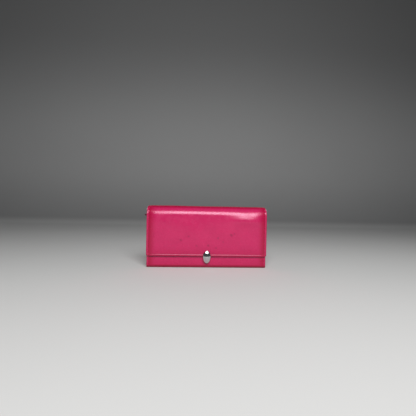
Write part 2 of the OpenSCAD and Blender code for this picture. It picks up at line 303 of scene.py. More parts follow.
def grid_faces(nu, ns, base, flip):
    """Quads of one grid of points, as vertex numbers."""
    i, j = np.meshgrid(np.arange(nu - 1), np.arange(ns - 1), indexing="ij")
    a = (base + i * ns + j).ravel()
    quad = np.stack([a, a + ns, a + ns + 1, a + 1], -1)
    return quad[:, ::-1] if flip else quad


def rim_loop(nu, ns):
    """Vertex numbers round a grid's rim, in order."""
    n = np.arange(nu * ns).reshape(nu, ns)
    return np.concatenate([n[:, 0], n[-1, 1:], n[-2::-1, -1], n[0, -2:0:-1]])


def make_object(name, points, faces, materials, indices=None, uv=None):
    """A smooth-shaded mesh object from points in millimetres."""
    mesh = bpy.data.meshes.new(name)
    mesh.from_pydata((np.asarray(points) * MM).tolist(), [], [list(f) for f in faces])
    for material in materials:
        mesh.materials.append(material)
    if indices is not None:
        mesh.polygons.foreach_set("material_index", np.asarray(indices, np.int32))
    if uv is not None:
        layer = mesh.uv_layers.new(name=UV_MAP)
        loops = np.zeros(len(mesh.loops), np.int32)
        mesh.loops.foreach_get("vertex_index", loops)
        layer.data.foreach_set("uv", np.asarray(uv)[loops].astype(np.float32).ravel())
    work = bmesh.new()
    work.from_mesh(mesh)
    bmesh.ops.recalc_face_normals(work, faces=work.faces)
    work.to_mesh(mesh)
    work.free()
    mesh.shade_smooth()
    made = bpy.data.objects.new(name, mesh)
    bpy.context.scene.collection.objects.link(made)
    return made


def sharpen(made):
    """Marks the edges that turn by more than 50 degrees as sharp."""
    made.data.set_sharp_from_angle(angle=math.radians(50))
    return made


def slab(
    name, place, us, ss, thick, materials, depth=0, free=(True, True), corners=None, edge=0.5, relief=None
):
    """A sheet with real thickness over a grid: us across it and ss along it, in millimetres.

    materials are those of the outer face, the rim and the inner face. depth is how deep the
    outer face lies below the run. corners are the radii at the two ends, edge is how far in
    the rim's rounding starts, and relief, a function of (u, s), lifts the outer face.
    """
    u, s = np.meshgrid(us, ss, indexing="ij")
    side, start, end = rim_distance(u, s, free)
    rim = np.minimum(side, np.minimum(start, end))
    belly = np.sqrt(np.clip(1 - np.clip(1 - rim / edge, 0, 1) ** 2, 0.06, 1))
    lift = relief(u, s) if relief else 0 * u
    if corners:
        u, s = round_corners(u, s, side, start, end, corners)
    deep = (depth(s) if callable(depth) else depth + 0 * s) + thick / 2
    outer, _ = place(u, s, deep - belly * thick / 2 - lift * belly)
    inner, _ = place(u, s, deep + belly * thick / 2)
    nu, ns = u.shape
    loop = rim_loop(nu, ns)
    after = np.roll(loop, -1)
    count = nu * ns
    band = np.stack([loop, after, after + count, loop + count], -1)
    faces = np.concatenate([grid_faces(nu, ns, 0, False), grid_faces(nu, ns, count, True), band])
    cell = rim[:-1, :-1] + rim[1:, 1:] + rim[1:, :-1] + rim[:-1, 1:]
    painted = (cell.ravel() / 4 < edge * 0.55).astype(int)
    indices = np.concatenate([painted, np.where(painted, 1, 2), np.ones(len(band), int)])
    uv = np.stack([u.ravel(), s.ravel()], -1)
    points = np.concatenate([outer.reshape(-1, 3), inner.reshape(-1, 3)])
    made = make_object(name, points, faces, materials, indices, np.concatenate([uv, uv]))
    if not all(free):
        mark_seams(made, nu, ns, free)
    return made


def mark_seams(made, nu, ns, free):
    """Marks the edges of a slab's joined ends as sharp, so that they leave no line in the shading."""
    capped = [j for j, is_free in ((0, free[0]), (ns - 1, free[1])) if not is_free]
    ends = {base + i * ns + j for j in capped for i in range(nu) for base in (0, nu * ns)}
    for edge in made.data.edges:
        a, b = edge.vertices
        if a in ends and b in ends and abs(a - b) == ns:
            edge.use_edge_sharp = True


# ---- relief


def welt(distance):
    """A raised border that ends in the groove of the stitch line."""
    raised = WELT_H * np.sin(np.pi * np.clip(distance / WELT_W, 0, 1))
    groove = GROOVE_H * np.exp(-(((distance - WELT_W) / GROOVE_W) ** 2))
    return raised - groove


def nearest(a, b):
    """A soft minimum of two distances, so that borders meet in a rounded corner."""
    h = np.clip(1.2 - np.abs(a - b), 0, None) / 1.2
    return np.minimum(a, b) - h * h * 0.3


def side_distance(u):
    """How far a place of the cover is from its nearer side."""
    return HALF_FLAP - np.abs(u)


def wave(u, s, seed):
    """A slow, seeded unevenness of hand-made leather, about one unit high."""
    rng = np.random.default_rng(seed)
    total = 0 * u
    for _ in range(7):
        length = rng.uniform(24, 75)
        heading = rng.uniform(0, math.pi)
        turn = rng.uniform(0, 2 * math.pi)
        along = u * math.cos(heading) + s * math.sin(heading)
        total = total + np.sin(along * 6.283 / length + turn)
    return total / 3.2


# ---- puffed cover, by simulation

SIM_STEP = 2.6
SIM_FRAMES = 18
PUFF_MAX = 0.9
PUFF_BLUR = 26
CLASP_GRIP = 9
# Settings of Blender's cloth
CLOTH = dict(
    quality=6, mass=0.25, air_damping=3, shrink_min=-0.002, use_pressure=True,
    tension_stiffness=40, compression_stiffness=40, shear_stiffness=20, bending_stiffness=20,
    uniform_pressure_force=2.0, vertex_group_mass="sewn",
)


def held(u, s, rim):
    """Where the cover is sewn or riveted down."""
    clasp = np.hypot(u, s - EDGE_S) < CLASP_GRIP
    return (rim < WELT_W + 0.4) | clasp | (s < ARC_1 + 1)


def puff_field():
    """How far the padded cover stands out, on a grid, from a cloth simulation."""
    us = np.linspace(-HALF_FLAP, HALF_FLAP, int(round(2 * HALF_FLAP / SIM_STEP)) + 1)
    ss = np.linspace(ARC_1, EDGE_S, int(round((EDGE_S - ARC_1) / SIM_STEP)) + 1)
    u, s = np.meshgrid(us, ss, indexing="ij")
    rim = np.minimum(side_distance(u), EDGE_S - s)
    rest, normal = (v.reshape(-1, 3) for v in cover_place(u, s, 0 * u))
    grid = make_object("cloth", rest, grid_faces(len(us), len(ss), 0, False), [])
    pins = grid.vertex_groups.new(name="sewn")
    pins.add(np.nonzero(held(u, s, rim).ravel())[0].tolist(), 1.0, "REPLACE")
    moved = ((simulate(grid) - rest) * normal).sum(-1)
    return us, ss, moved.reshape(u.shape)


def simulate(grid):
    """Puffs a pinned grid up with a little air and gives its points in millimetres."""
    scene = bpy.context.scene
    cloth = grid.modifiers.new("cloth", "CLOTH")
    for key, value in CLOTH.items():
        setattr(cloth.settings, key, value)
    cloth.settings.effector_weights.gravity = 0
    cloth.collision_settings.use_collision = False
    cloth.point_cache.frame_start = 1
    cloth.point_cache.frame_end = SIM_FRAMES
    for step in range(1, SIM_FRAMES + 1):
        scene.frame_set(step)
    graph = bpy.context.evaluated_depsgraph_get()
    mesh = grid.evaluated_get(graph).to_mesh()
    co = np.zeros(len(mesh.vertices) * 3)
    mesh.vertices.foreach_get("co", co)
    data = grid.data
    bpy.data.objects.remove(grid)
    bpy.data.meshes.remove(data)
    scene.frame_set(1)
    return co.reshape(-1, 3) / MM


def smoothed(field, times):
    """The field after a few passes of a small blur that leaves its rim alone."""
    for _ in range(times):
        inside = field[1:-1, 1:-1]
        around = field[:-2, 1:-1] + field[2:, 1:-1] + field[1:-1, :-2] + field[1:-1, 2:]
        field = field.copy()
        field[1:-1, 1:-1] = inside / 2 + around / 8
    return field


PUFF_US, PUFF_SS, PUFF = puff_field()
PUFF = smoothed(PUFF, PUFF_BLUR)
PUFF = PUFF * (PUFF_MAX / PUFF.max())


def puff(u, s):
    """The simulated swelling, read between its grid points."""
    i = np.clip((u - PUFF_US[0]) / (PUFF_US[1] - PUFF_US[0]), 0, len(PUFF_US) - 1.001)
    j = np.clip((s - PUFF_SS[0]) / (PUFF_SS[1] - PUFF_SS[0]), 0, len(PUFF_SS) - 1.001)
    a, b = i.astype(int), j.astype(int)
    f, g = i - a, j - b
    low = PUFF[a, b] * (1 - g) + PUFF[a, b + 1] * g
    high = PUFF[a + 1, b] * (1 - g) + PUFF[a + 1, b + 1] * g
    return low * (1 - f) + high * f


def pad_edge(distance, height, run):
    """The swelling of padded leather beside its seam, steep at first."""
    return height * (1 - np.exp(-np.clip(distance - WELT_W, 0, None) / run))


# Two bulges of the padding: their place, height, half width and half length
RIGHT_SWELL = (64, FLAP_S + 7.5, 2.15, 29, 8.5)
LEFT_SWELL = (-82, FLAP_S + 7, 0.5, 16, 9)


def swell(u, s, u0, s0, height, width, length):
    """One broad bulge of the padding."""
    return height * np.exp(-(((u - u0) / width) ** 2) - ((s - s0) / length) ** 2)


def cover_relief(u, s):
    """Outer face of the cover: padded leather, a sewn border and slow unevenness."""
    side = side_distance(u)
    rim = nearest(side, EDGE_S - s)
    calm = smooth((rim - WELT_W) / 14)
    front = smooth((s - TOP_S) / (FLAP_S - TOP_S))
    sides = pad_edge(side, PAD_SIDE, PAD_SIDE_RUN) * (0.25 + 0.75 * front)
    edge = pad_edge(EDGE_S - s, PAD_EDGE, PAD_EDGE_RUN) - PAD_EDGE
    swells = swell(u, s, *RIGHT_SWELL) + swell(u, s, *LEFT_SWELL)
    uneven = (COVER_WAVE * wave(u, s, 5) + swells) * calm
    rising = smooth((s - ARC_1) / 20)
    droop = -DROOP * smooth(1 - side / 4) * smooth(1 - np.abs(s - TOP_S - 1) / 12)
    base = smooth((s - BACK_S - 4) / 10)
    padded = (sides + edge * front + puff(u, s)) * rising
    sewn = welt(rim) * (1 - 0.6 * (front > 0) * (1 - front))
    return (sewn + padded + uneven + droop) * base


def panel_relief(u, s):
    """Outer face of the front panel, sewn down at its sides and foot."""
    side = HALF_BODY - np.abs(u)
    rim = nearest(side, PANEL_FOOT + 0.6 - s)
    flat = smooth((PANEL_FOOT - s) / 1.5)
    tuck = -TUCK * np.clip((s - PANEL_FOOT + TUCK_RUN) / TUCK_RUN, 0, 1) ** 2
    return (welt(rim) + PANEL_WAVE * wave(u, s, 8) * smooth(side / 12)) * flat + tuck


# ---- stitches


def stitch_shape():
    """One bent capsule: points as (along, aside, up) and its faces."""
    along = np.array([-1, -0.62, 0, 0.62, 1])
    thick = np.array([0.35, 0.92, 1, 0.92, 0.35])
    turns = np.arange(6) * math.pi / 3
    rings = []
    for a, t in zip(along, thick):
        lift = 0.8 * STITCH_R * (1 - a * a) - 0.35 * STITCH_R
        aside = t * STITCH_R * np.cos(turns)
        up = lift + t * STITCH_R * np.sin(turns)
        rings += [(a * STITCH_L / 2, x, z) for x, z in zip(aside, up)]
    faces = [
        (6 * i + k, 6 * i + (k + 1) % 6, 6 * (i + 1) + (k + 1) % 6, 6 * (i + 1) + k)
        for i in range(4)
        for k in range(6)
    ]
    faces += [tuple(range(6)), tuple(range(24, 30))]
    return np.array(rings), faces


STITCH_POINTS, STITCH_FACES = stitch_shape()


def stitches(name, place, rows, relief=None, depth=0.0, outward=1):
    """Stitches along straight rows (u0, s0, u1, s1) of a placed sheet."""
    points = []
    for u0, s0, u1, s1 in rows:
        length = math.hypot(u1 - u0, s1 - s0)
        count = max(1, int(length / STITCH_PITCH))
        t = (np.arange(count) + 0.5) / count
        u, s = u0 + (u1 - u0) * t, s0 + (s1 - s0) * t
        lift = (depth(s) if callable(depth) else depth) - (relief(u, s) if relief else 0 * u)
        p, n = place(u, s, lift)
        ahead, _ = place(u + (u1 - u0) / length * NUDGE, s + (s1 - s0) / length * NUDGE, lift)
        tangent = (ahead - p) / np.linalg.norm(ahead - p, axis=-1, keepdims=True)
        n = n * outward
        axes = np.stack([tangent, np.cross(tangent, n), n], 1)
        points.append(STITCH_POINTS @ axes + p[:, None])
    points = np.concatenate(points)
    firsts = np.arange(len(points)) * len(STITCH_POINTS)
    faces = [tuple(first + k for k in face) for first in firsts for face in STITCH_FACES]
    return make_object(name, points.reshape(-1, 3), faces, [THREAD])


# ---- materials


def node(tree, kind, inputs=None, **settings):
    """Adds a node. Inputs are values or the sockets that feed them."""
    made = tree.nodes.new("ShaderNode" + kind)
    for key, value in settings.items():
        setattr(made, key, value)
    for key, value in (inputs or {}).items():
        if isinstance(value, bpy.types.NodeSocket):
            tree.links.new(value, made.inputs[key])
        else:
            made.inputs[key].default_value = value
    return made


def finish_of(name, color, roughness, **sockets):
    """A material and its tree, with plain values set on the Principled shader's own sockets."""
    material = bpy.data.materials.new(name)
    material.use_nodes = True
    inputs = material.node_tree.nodes["Principled BSDF"].inputs
    inputs["Base Color"].default_value = (*color, 1)
    inputs["Roughness"].default_value = roughness
    for key, value in sockets.items():
        inputs[key.replace("_", " ")].default_value = value
    material.diffuse_color = (*color, 1)
    return material, material.node_tree


def finished(material, tone, height=None, strength=0.0, depth_mm=0.0, rough=None):
    """The material, once its colour and perhaps its bump and roughness feed its shader."""
    tree = material.node_tree
    sockets = {"Base Color": tone, "Roughness": rough}
    if height is not None:
        inputs = {"Height": height, "Strength": strength, "Distance": depth_mm * MM}
        sockets["Normal"] = node(tree, "Bump", inputs).outputs[0]
    for key, socket in sockets.items():
        if socket is not None:
            tree.links.new(socket, tree.nodes["Principled BSDF"].inputs[key])
    return material


def scaled(color, by):
    """A colour times a number, or times three."""
    return tuple(float(c) for c in np.array(color) * by)


def solid_mm(tree, stretch=1.0):
    """Coordinates in the piece's own space, in millimetres, stretched where asked."""
    own = node(tree, "TexCoord").outputs["Object"]
    return vector_of(tree, own, tuple(np.ones(3) * stretch / MM), "MULTIPLY")


def vector_of(tree, a, b, operation="ADD"):
    return node(tree, "VectorMath", {0: a, 1: b}, operation=operation).outputs[0]


def noise_of(tree, vector, scale, detail=3.0, roughness=0.5):
    inputs = {"Vector": vector, "Scale": scale, "Detail": detail, "Roughness": roughness}
    return node(tree, "TexNoise", inputs).outputs["Fac"]


def ramped(tree, value, low, high, to_low=0.0, to_high=1.0):
    """A smooth step of a value between two levels."""
    inputs = {0: value, 1: low, 2: high, 3: to_low, 4: to_high}
    return node(tree, "MapRange", inputs, interpolation_type="SMOOTHSTEP").outputs[0]


def calc(tree, a, b, operation="ADD"):
    return node(tree, "Math", {0: a, 1: b}, operation=operation).outputs[0]


def mixed(tree, amount, a, b):
    """Colour a where amount is 0, and b where it is 1."""
    a, b = (c if isinstance(c, bpy.types.NodeSocket) else (*c, 1) for c in (a, b))
    return node(tree, "Mix", {0: amount, 6: a, 7: b}, data_type="RGBA").outputs[2]


def warped(tree, vector, scale, amount):
    """Coordinates pushed about a little, so that a pattern isn't regular."""
    push = node(tree, "TexNoise", {"Vector": vector, "Scale": scale}).outputs["Color"]
    centred = vector_of(tree, push, (0.5, 0.5, 0.5), "SUBTRACT")
    return vector_of(tree, vector, vector_of(tree, centred, (amount, amount, amount), "MULTIPLY"))


def scuff_of(tree, vector, u, s, size):
    """A rubbed spot, 1 at its middle, round a point of the leather."""
    spread = warped(tree, vector, 0.22, size * 1.1)
    gap = node(tree, "VectorMath", {0: spread, 1: (u, s, 0)}, operation="DISTANCE").outputs["Value"]
    return ramped(tree, gap, size * 0.2, size, 1.0, 0.0)


def painted_shade_of(tree, flat, half_width, top_s, edge_s):
    """Painted shade of a cover, from 0 to 1: along its sides, across a band round top_s and towards its
    lower edge; and the part of that near its lower edge.
    """
    parts = node(tree, "SeparateXYZ", {0: flat}).outputs
    aside = calc(tree, parts["X"], 0.0, "ABSOLUTE")
    seam = half_width - WELT_W
    side = ramped(tree, aside, half_width - 17, seam)
    side = calc(tree, side, ramped(tree, aside, seam, seam + 0.8, 0.0, 0.75), "SUBTRACT")
    away = calc(tree, calc(tree, parts["Y"], top_s, "SUBTRACT"), 0.0, "ABSOLUTE")
    top = ramped(tree, away, 6.5, 12.5, 1.0, 0.0)
    edge = ramped(tree, parts["Y"], edge_s - 4.5, edge_s - 2.0, 0.0, 0.8)
    lower = ramped(tree, parts["Y"], edge_s - 18, edge_s - 4, 0.0, 0.25)
    edge = calc(tree, edge, lower, "MAXIMUM")
    return calc(tree, calc(tree, side, top, "MAXIMUM"), edge, "MAXIMUM"), edge


def leather(name, color, roughness, grain, scuffs=(), painted_shade_at=None, foot_s=None):
    """Grained leather: pebbles, pores, cloudy colour, painted shade along its borders and at its foot, and
    rubbed spots.
    """
    material, tree = finish_of(name, color, roughness, **LEATHER_GLOSS)
    flat = node(tree, "UVMap", uv_map=UV_MAP).outputs["UV"]
    inputs = {"Vector": warped(tree, flat, 0.9, 0.5), "Scale": grain}
    pebble = node(tree, "TexVoronoi", inputs, feature="F1").outputs["Distance"]
    pores = noise_of(tree, flat, 4.5, 2.0)
    height = calc(tree, pebble, calc(tree, pores, 0.5, "MULTIPLY"))
    dark = scaled(color, 0.8)
    light = tuple(c * 1.05 + 0.004 for c in color)
    cloud = noise_of(tree, flat, 0.045, 4.0, 0.6)
    tone = mixed(tree, ramped(tree, cloud, 0.2, 0.8, 0.0, 0.45), light, dark)
    tone = mixed(tree, ramped(tree, pebble, 0.0, 0.75, 0.0, 0.22), tone, dark)
    uneven = noise_of(tree, flat, 0.11, 3.0)
    rough = ramped(tree, uneven, 0.3, 0.7, roughness - 0.03, roughness + 0.05)
    # painted shade: the sides, the top of the roll and the lower edge are darkened in the colour, standing
    # in for the light falling off there
    if painted_shade_at:
        painted_shade_mask, edge = painted_shade_of(tree, flat, *painted_shade_at)
        tone = mixed(tree, painted_shade_mask, tone, scaled(color, PAINTED_SHADE))
        rough = calc(tree, rough, calc(tree, edge, 0.15, "MULTIPLY"))
    for scuff in scuffs:
        spot = scuff_of(tree, flat, *scuff)
        tone = mixed(tree, calc(tree, spot, 0.68, "MULTIPLY"), tone, scaled(color, 0.5))
        rough = calc(tree, rough, calc(tree, spot, 0.12, "MULTIPLY"))
    # painted shade where the panel's foot turns under towards the floor
    if foot_s:
        along = node(tree, "SeparateXYZ", {0: flat}).outputs["Y"]
        turned = ramped(tree, along, foot_s - 2.4, foot_s - 1.0, 0.0, 0.85)
        tone = mixed(tree, turned, tone, scaled(color, FOOT_PAINTED_SHADE))
    return finished(material, tone, height, 0.28, 0.055, rough)


def edge_paint(name, color):
    """The smooth, slightly uneven paint on a cut leather edge."""
    material, tree = finish_of(name, color, 0.38, Coat_Weight=0.15)
    uneven = noise_of(tree, solid_mm(tree), 0.5, 4.0)
    tone = mixed(tree, ramped(tree, uneven, 0.35, 0.7), scaled(color, 0.7), color)
    return finished(material, tone, uneven, 0.3, 0.08)


def suede(name, color):
    """Matt leather with a short nap."""
    material, tree = finish_of(name, color, 0.85, Sheen_Weight=0.25, Sheen_Roughness=0.45)
    solid = solid_mm(tree)
    nap = noise_of(tree, solid, 6.0, 3.0, 0.7)
    cloud = noise_of(tree, solid, 0.12, 3.0)
    tone = mixed(tree, ramped(tree, cloud, 0.3, 0.7), scaled(color, 0.75), color)
    return finished(material, tone, nap, 0.35, 0.05)


def woven(name, color, threads, ribbed=False):
    """Cloth of two crossing threads, each with its pitch in millimetres and its angle."""
    material, tree = finish_of(name, color, 0.75, Sheen_Weight=0.15)
    solid = solid_mm(tree)
    heights = []
    for pitch, turn in threads:
        inputs = {"Vector": solid, "Angle": math.radians(turn)}
        turned = node(tree, "VectorRotate", inputs, rotation_type="Y_AXIS").outputs[0]
        inputs = {"Vector": turned, "Scale": WAVE_BAND / pitch, "Distortion": 0.4}
        heights.append(node(tree, "TexWave", inputs, bands_direction="X").outputs["Fac"])
    height = calc(tree, *heights, "MAXIMUM" if ribbed else "MULTIPLY")
    dark = scaled(color, 0.5)
    tone = mixed(tree, ramped(tree, height, 0.05, 0.7), dark, color)
    fuzz = noise_of(tree, solid, 3.0, 3.0)
    tone = mixed(tree, ramped(tree, fuzz, 0.4, 0.8, 0.0, 0.35), tone, dark)
    return finished(material, tone, height, 0.5, 0.06)


def metal(name, color, roughness, wear):
    """Plated metal: fine scratches, smudges and slightly duller spots."""
    material, tree = finish_of(name, color, roughness, Metallic=1.0)
    smudge = noise_of(tree, solid_mm(tree), 0.35, 4.0, 0.6)
    scratch = noise_of(tree, solid_mm(tree, (0.4, 0.4, 7.0)), 2.2, 2.0, 0.7)
    rough = ramped(tree, smudge, 0.35, 0.75, roughness, roughness + wear)
    rough = calc(tree, rough, ramped(tree, scratch, 0.62, 0.8, 0.0, wear * 0.8))
    tone = mixed(tree, ramped(tree, smudge, 0.45, 0.8), color, scaled(color, 0.82))
    return finished(material, tone, scratch, 0.04, 0.02, rough)


def paperboard(name, color):
    """Grey-brown stiffening board with short fibres."""
    material, tree = finish_of(name, color, 0.9)
    fibre = noise_of(tree, solid_mm(tree, (0.6, 1.0, 3.0)), 1.6, 5.0, 0.7)
    tone = mixed(tree, ramped(tree, fibre, 0.35, 0.65), scaled(color, 0.7), color)
    return finished(material, tone, fibre, 0.4, 0.05)


def twisted_thread(name, color):
    """Waxed sewing thread with its twist."""
    material, tree = finish_of(name, color, 0.6, Sheen_Weight=0.1)
    inputs = {"Vector": solid_mm(tree), "Scale": 1.1, "Distortion": 0.3}
    ply = node(tree, "TexWave", inputs, bands_direction="DIAGONAL").outputs["Fac"]
    tone = mixed(tree, ramped(tree, ply, 0.1, 0.7), scaled(color, 0.6), color)
    return finished(material, tone, ply, 0.5, 0.04)


# Width of a wave texture's band at a scale of 1
WAVE_BAND = 6.283 / 20
LEATHER_GLOSS = {"Specular_IOR_Level": 0.6, "Specular_Tint": (1, 0.78, 0.95, 1)}
# How much of each colour is left under the painted shade of the borders, and under the painted shade where
# the foot turns under
PAINTED_SHADE = (0.71, 0.08, 0.40)
FOOT_PAINTED_SHADE = (0.48, 0.06, 0.22)
PINK = (0.51, 0.0115, 0.094)
PINK_EDGE = (0.40, 0.014, 0.075)
PINK_LINING = (0.55, 0.035, 0.14)
PINK_SUEDE = (0.42, 0.025, 0.105)
PINK_THREAD = (0.58, 0.022, 0.12)
PINK_CLOTH = (0.42, 0.035, 0.12)
DARK_TAPE = (0.30, 0.018, 0.07)
DARK_PULL = (0.11, 0.012, 0.028)
BROWN = (0.42, 0.35, 0.27)
NICKEL = (0.80, 0.78, 0.76)
CHROME = (0.63, 0.63, 0.64)
BRASS = (0.80, 0.70, 0.50)
# Rubbed spots of the flap: their place and size
SCUFFS = (
    (39, FLAP_S + 31, 3.6), (44, FLAP_S + 29, 2.0), (2, FLAP_S + 48, 3.0),
    (15, FLAP_S + 52, 2.4), (-17, FLAP_S + 49, 2.4), (-42, FLAP_S + 40, 2.8),
    (-30, FLAP_S + 34, 2.2), (18, FLAP_S + 36, 2.4), (26, FLAP_S + 42, 2.0),
)
GLOSS = 0.25
GRAIN = 1.35
# Where the painted shade lies on the cover and on the panel: half width, middle of the darkened top band,
# lower edge
COVER_PAINTED_SHADE = (HALF_FLAP, ARC_3 + 1, EDGE_S)
PANEL_PAINTED_SHADE = (HALF_BODY, -40.0, PANEL_FOOT)

COVER_LEATHER = leather("cover_leather", PINK, GLOSS, GRAIN, SCUFFS, COVER_PAINTED_SHADE)
PANEL_LEATHER = leather("panel_leather", PINK, GLOSS, GRAIN, (), PANEL_PAINTED_SHADE, PANEL_FOOT)
LINING_LEATHER = leather("lining_leather", PINK_LINING, 0.48, 2.0)
SUEDE = suede("gusset_leather", PINK_SUEDE)
EDGE_PAINT = edge_paint("edge_paint", PINK_EDGE)
POCKET_CLOTH = woven("pocket_cloth", PINK_CLOTH, ((0.5, 45), (1.0, -45)))
ZIP_TAPE = woven("zip_tape", DARK_TAPE, ((0.6, 0), (0.8, 90)), True)
BOARD = paperboard("board", BROWN)
ZIP_METAL = metal("zip_metal", NICKEL, 0.24, 0.12)
CLASP_METAL = metal("clasp_metal", CHROME, 0.05, 0.06)
SNAP_METAL = metal("snap_metal", BRASS, 0.28, 0.15)
THREAD = twisted_thread("thread", PINK_THREAD)
PULL_LEATHER = edge_paint("pull_leather", DARK_PULL)

COVER_SET = [COVER_LEATHER, EDGE_PAINT, SUEDE]
PANEL_SET = [PANEL_LEATHER, EDGE_PAINT, SUEDE]
LINING_SET = [LINING_LEATHER, EDGE_PAINT, SUEDE]
INSIDE_SET = [SUEDE, EDGE_PAINT, LINING_LEATHER]
COIN_SET = [LINING_LEATHER, EDGE_PAINT, POCKET_CLOTH]
GUSSET_SET = [SUEDE, EDGE_PAINT, SUEDE]
COIN_SIDE_SET = [SUEDE, EDGE_PAINT, POCKET_CLOTH]


# ---- leather pieces

# Pieces of the cover: a name, the ends, the hinge's bodies and ends, and the CAD parts it stands for
STRETCHES = (
    ("back", 0, CUT_1, "back", "spine_rear", ARC_1, FLAT_1, ("back",)),
    ("roll_rear", CUT_1, CUT_2, "spine_rear", "spine_top", ARC_2, TOP_S, ("spine_rear",)),
    ("roll_front", CUT_2, CUT_3, "spine_top", "spine_front", ARC_3, FLAT_2, ("spine_top",)),
    ("flap", CUT_3, EDGE_S, "spine_front", "flap", ARC_4, FLAP_S, ("spine_front", "flap")),
)


def stretches():
    """Each piece of the cover: name, placing, ends, which ends are free, CAD parts, and a function that
    bakes a piece's placing into its mesh.
    """
    for name, s0, s1, body_a, body_b, from_s, to_s, parts in STRETCHES:
        (start, end), _ = COVER.at([from_s, to_s])

        def bend(piece, a=body_a, b=body_b, start=start, end=end):
            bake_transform(piece)

        place = back_place if name == "back" else cover_place
        yield name, place, (s0, s1), (name == "back", name == "flap"), parts, bend


def stretch_lines(s0, s1, ends, border=5.0):
    """Grid lines along a piece of the cover, closer together where it only bends."""
    return lines(s0, s1, 1.6 if any(ends) else 1.1, ends, border)


def settle(piece, body, slot, *nodes):
    """Lets a piece ride on a body and stand for CAD nodes, which it hides. slot is not used."""
    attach(piece, body)
    if nodes:
        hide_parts(*nodes)


def outer_cover():
    """The outer leather: base, back, roll and flap in four pieces that meet in the roll's flats."""
    us = lines(-HALF_FLAP, HALF_FLAP, 2.2)
    for name, place, (s0, s1), ends, parts, bend in stretches():
        ss = stretch_lines(s0, s1, ends)
        nodes = [f"{part}_cover" for part in parts]
        if name == "back":
            ss = np.unique(np.concatenate([ss, np.linspace(BACK_S - 3.2, BACK_S, 9)]))
            nodes.append("base_cover")
        piece = slab(
            f"cover_{name}", place, us, ss, LEATHER_T, COVER_SET, 0, ends, (0.3, CORNER_R), 0.7, cover_relief
        )
        bend(piece)
        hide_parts(*nodes)


def lining_depth(s):
    """Depth of the lining below the cover's face: against the cover in the roll, else over a board."""
    boarded = np.maximum(smooth((ARC_1 + 0.8 - s) / 3), smooth((s - FLAP_S + 1.6) / 3))
    return LEATHER_T + BOARD_T * boarded


def inner_face(s):
    """Depth of the lining's inner face."""
    return lining_depth(s) + LINING_T


def cover_lining():
    """The inner leather of the back, the roll and the flap."""
    inset = HALF_FLAP - (HALF_BODY - HALF_LINING)
    us = lines(-inset, inset, 4, border=1.2)
    for name, place, (s0, s1), ends, parts, bend in stretches():
        begin = BACK_S + 0.2 if name == "back" else s0
        stop = EDGE_S - 0.5 if name == "flap" else s1
        ss = stretch_lines(begin, stop, ends, 1.2)
        corners = (0.3, CORNER_R - 0.5)
        piece = slab(
            f"lining_{name}", place, us, ss, LINING_T, INSIDE_SET, lining_depth, ends, corners
        )
        bend(piece)
        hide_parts(*(f"{part}_lining" for part in parts))


def flat_sheet(node, body, faces_back, materials, corners, relief=None):
    """A flat upright leather sheet in a CAD node's place, with rounded corners and edges."""
    low, high = box(node)
    height = high[2] - low[2]
    start, heading = ((high[1], low[2]), 90) if faces_back else ((low[1], high[2]), -90)
    place = across(Run(start, heading, [(height, 0)]))
    us = lines(low[0], high[0], 4, border=2.2)
    ss = lines(0, height, 3, border=2.2)
    piece = slab(
        f"{node}_sheet", place, us, ss, high[1] - low[1], materials, corners=corners, edge=0.3, relief=relief
    )
    settle(piece, body, "lining_leather", node)
    return place, low, high


def sewn_sheet(node, place, rows, body):
    """The stitches of a flat sheet."""
    settle(stitches(f"{node}_stitches", place, rows), body, "lining_leather")


def front_panel():
    """The front panel's outer leather, which wraps under the base, and its lining."""
    us = lines(-HALF_BODY, HALF_BODY, 2.4)
    ss = np.unique(np.concatenate([lines(0, PANEL_END, 2), np.linspace(PANEL_FOOT, PANEL_END, 10)]))
    cover = slab(
        "front_leather", panel_place, us, ss, LEATHER_T, PANEL_SET,
        corners=(2.2, 0.3), edge=0.7, relief=panel_relief,
    )
    settle(cover, "front_panel", "cover_leather", "front_cover")
    flat_sheet("front_lining", "front_panel", True, LINING_SET, (0.5, 1.8))


def base_lining():
    """The lining on the inside of the base."""
    us = lines(-HALF_LINING, HALF_LINING, 5, border=1.2)
    ss = lines(0, BACK_Y - REAR_FOOT_R - BASE_LOW[1] - 0.3, 1.5, border=1.2)
    piece = slab("base_sheet", back_place, us, ss, LINING_T, INSIDE_SET, depth=LEATHER_T, edge=0.3)
    settle(piece, "back", "lining_leather", "base_lining")


def mouth_crease(u, s):
    """The heat-creased line along a slot's mouth and sides."""
    rim = np.minimum(np.minimum(u - u.min(), u.max() - u), s)
    return -0.09 * np.exp(-(((rim - 1.3) / 0.22) ** 2))


def card_slots():
    """Two columns of four card slots and the leather that backs them."""
    flat_sheet("card_backing", "back", False, LINING_SET, (2, 1))
    for column in ("left", "right"):
        for tier in range(1, 5):
            node = f"card_slot_{column}_{tier}"
            place, low, high = flat_sheet(node, "back", False, LINING_SET, (2.2, 0.8), mouth_crease)
            foot_s = high[2] - low[2] - 2
            end = foot_s if tier == 4 else 8.4
            rows = [(x, 2.5, x, end) for x in (low[0] + 2.4, high[0] - 2.4)]
            if tier == 4:
                rows.append((low[0] + 4, foot_s, high[0] - 4, foot_s))
            sewn_sheet(node, place, rows, "back")


def slip_pocket():
    """The open pocket sewn inside the front panel."""
    node = "front_slip_pocket"
    place, low, high = flat_sheet(node, "front_panel", True, LINING_SET, (0.8, 2))
    height = high[2] - low[2]
    x = high[0] - 2
    rows = [(-x, 2, x, 2), (-x, 3, -x, height - 1), (x, 3, x, height - 1)]
    sewn_sheet(node, place, rows, "front_panel")


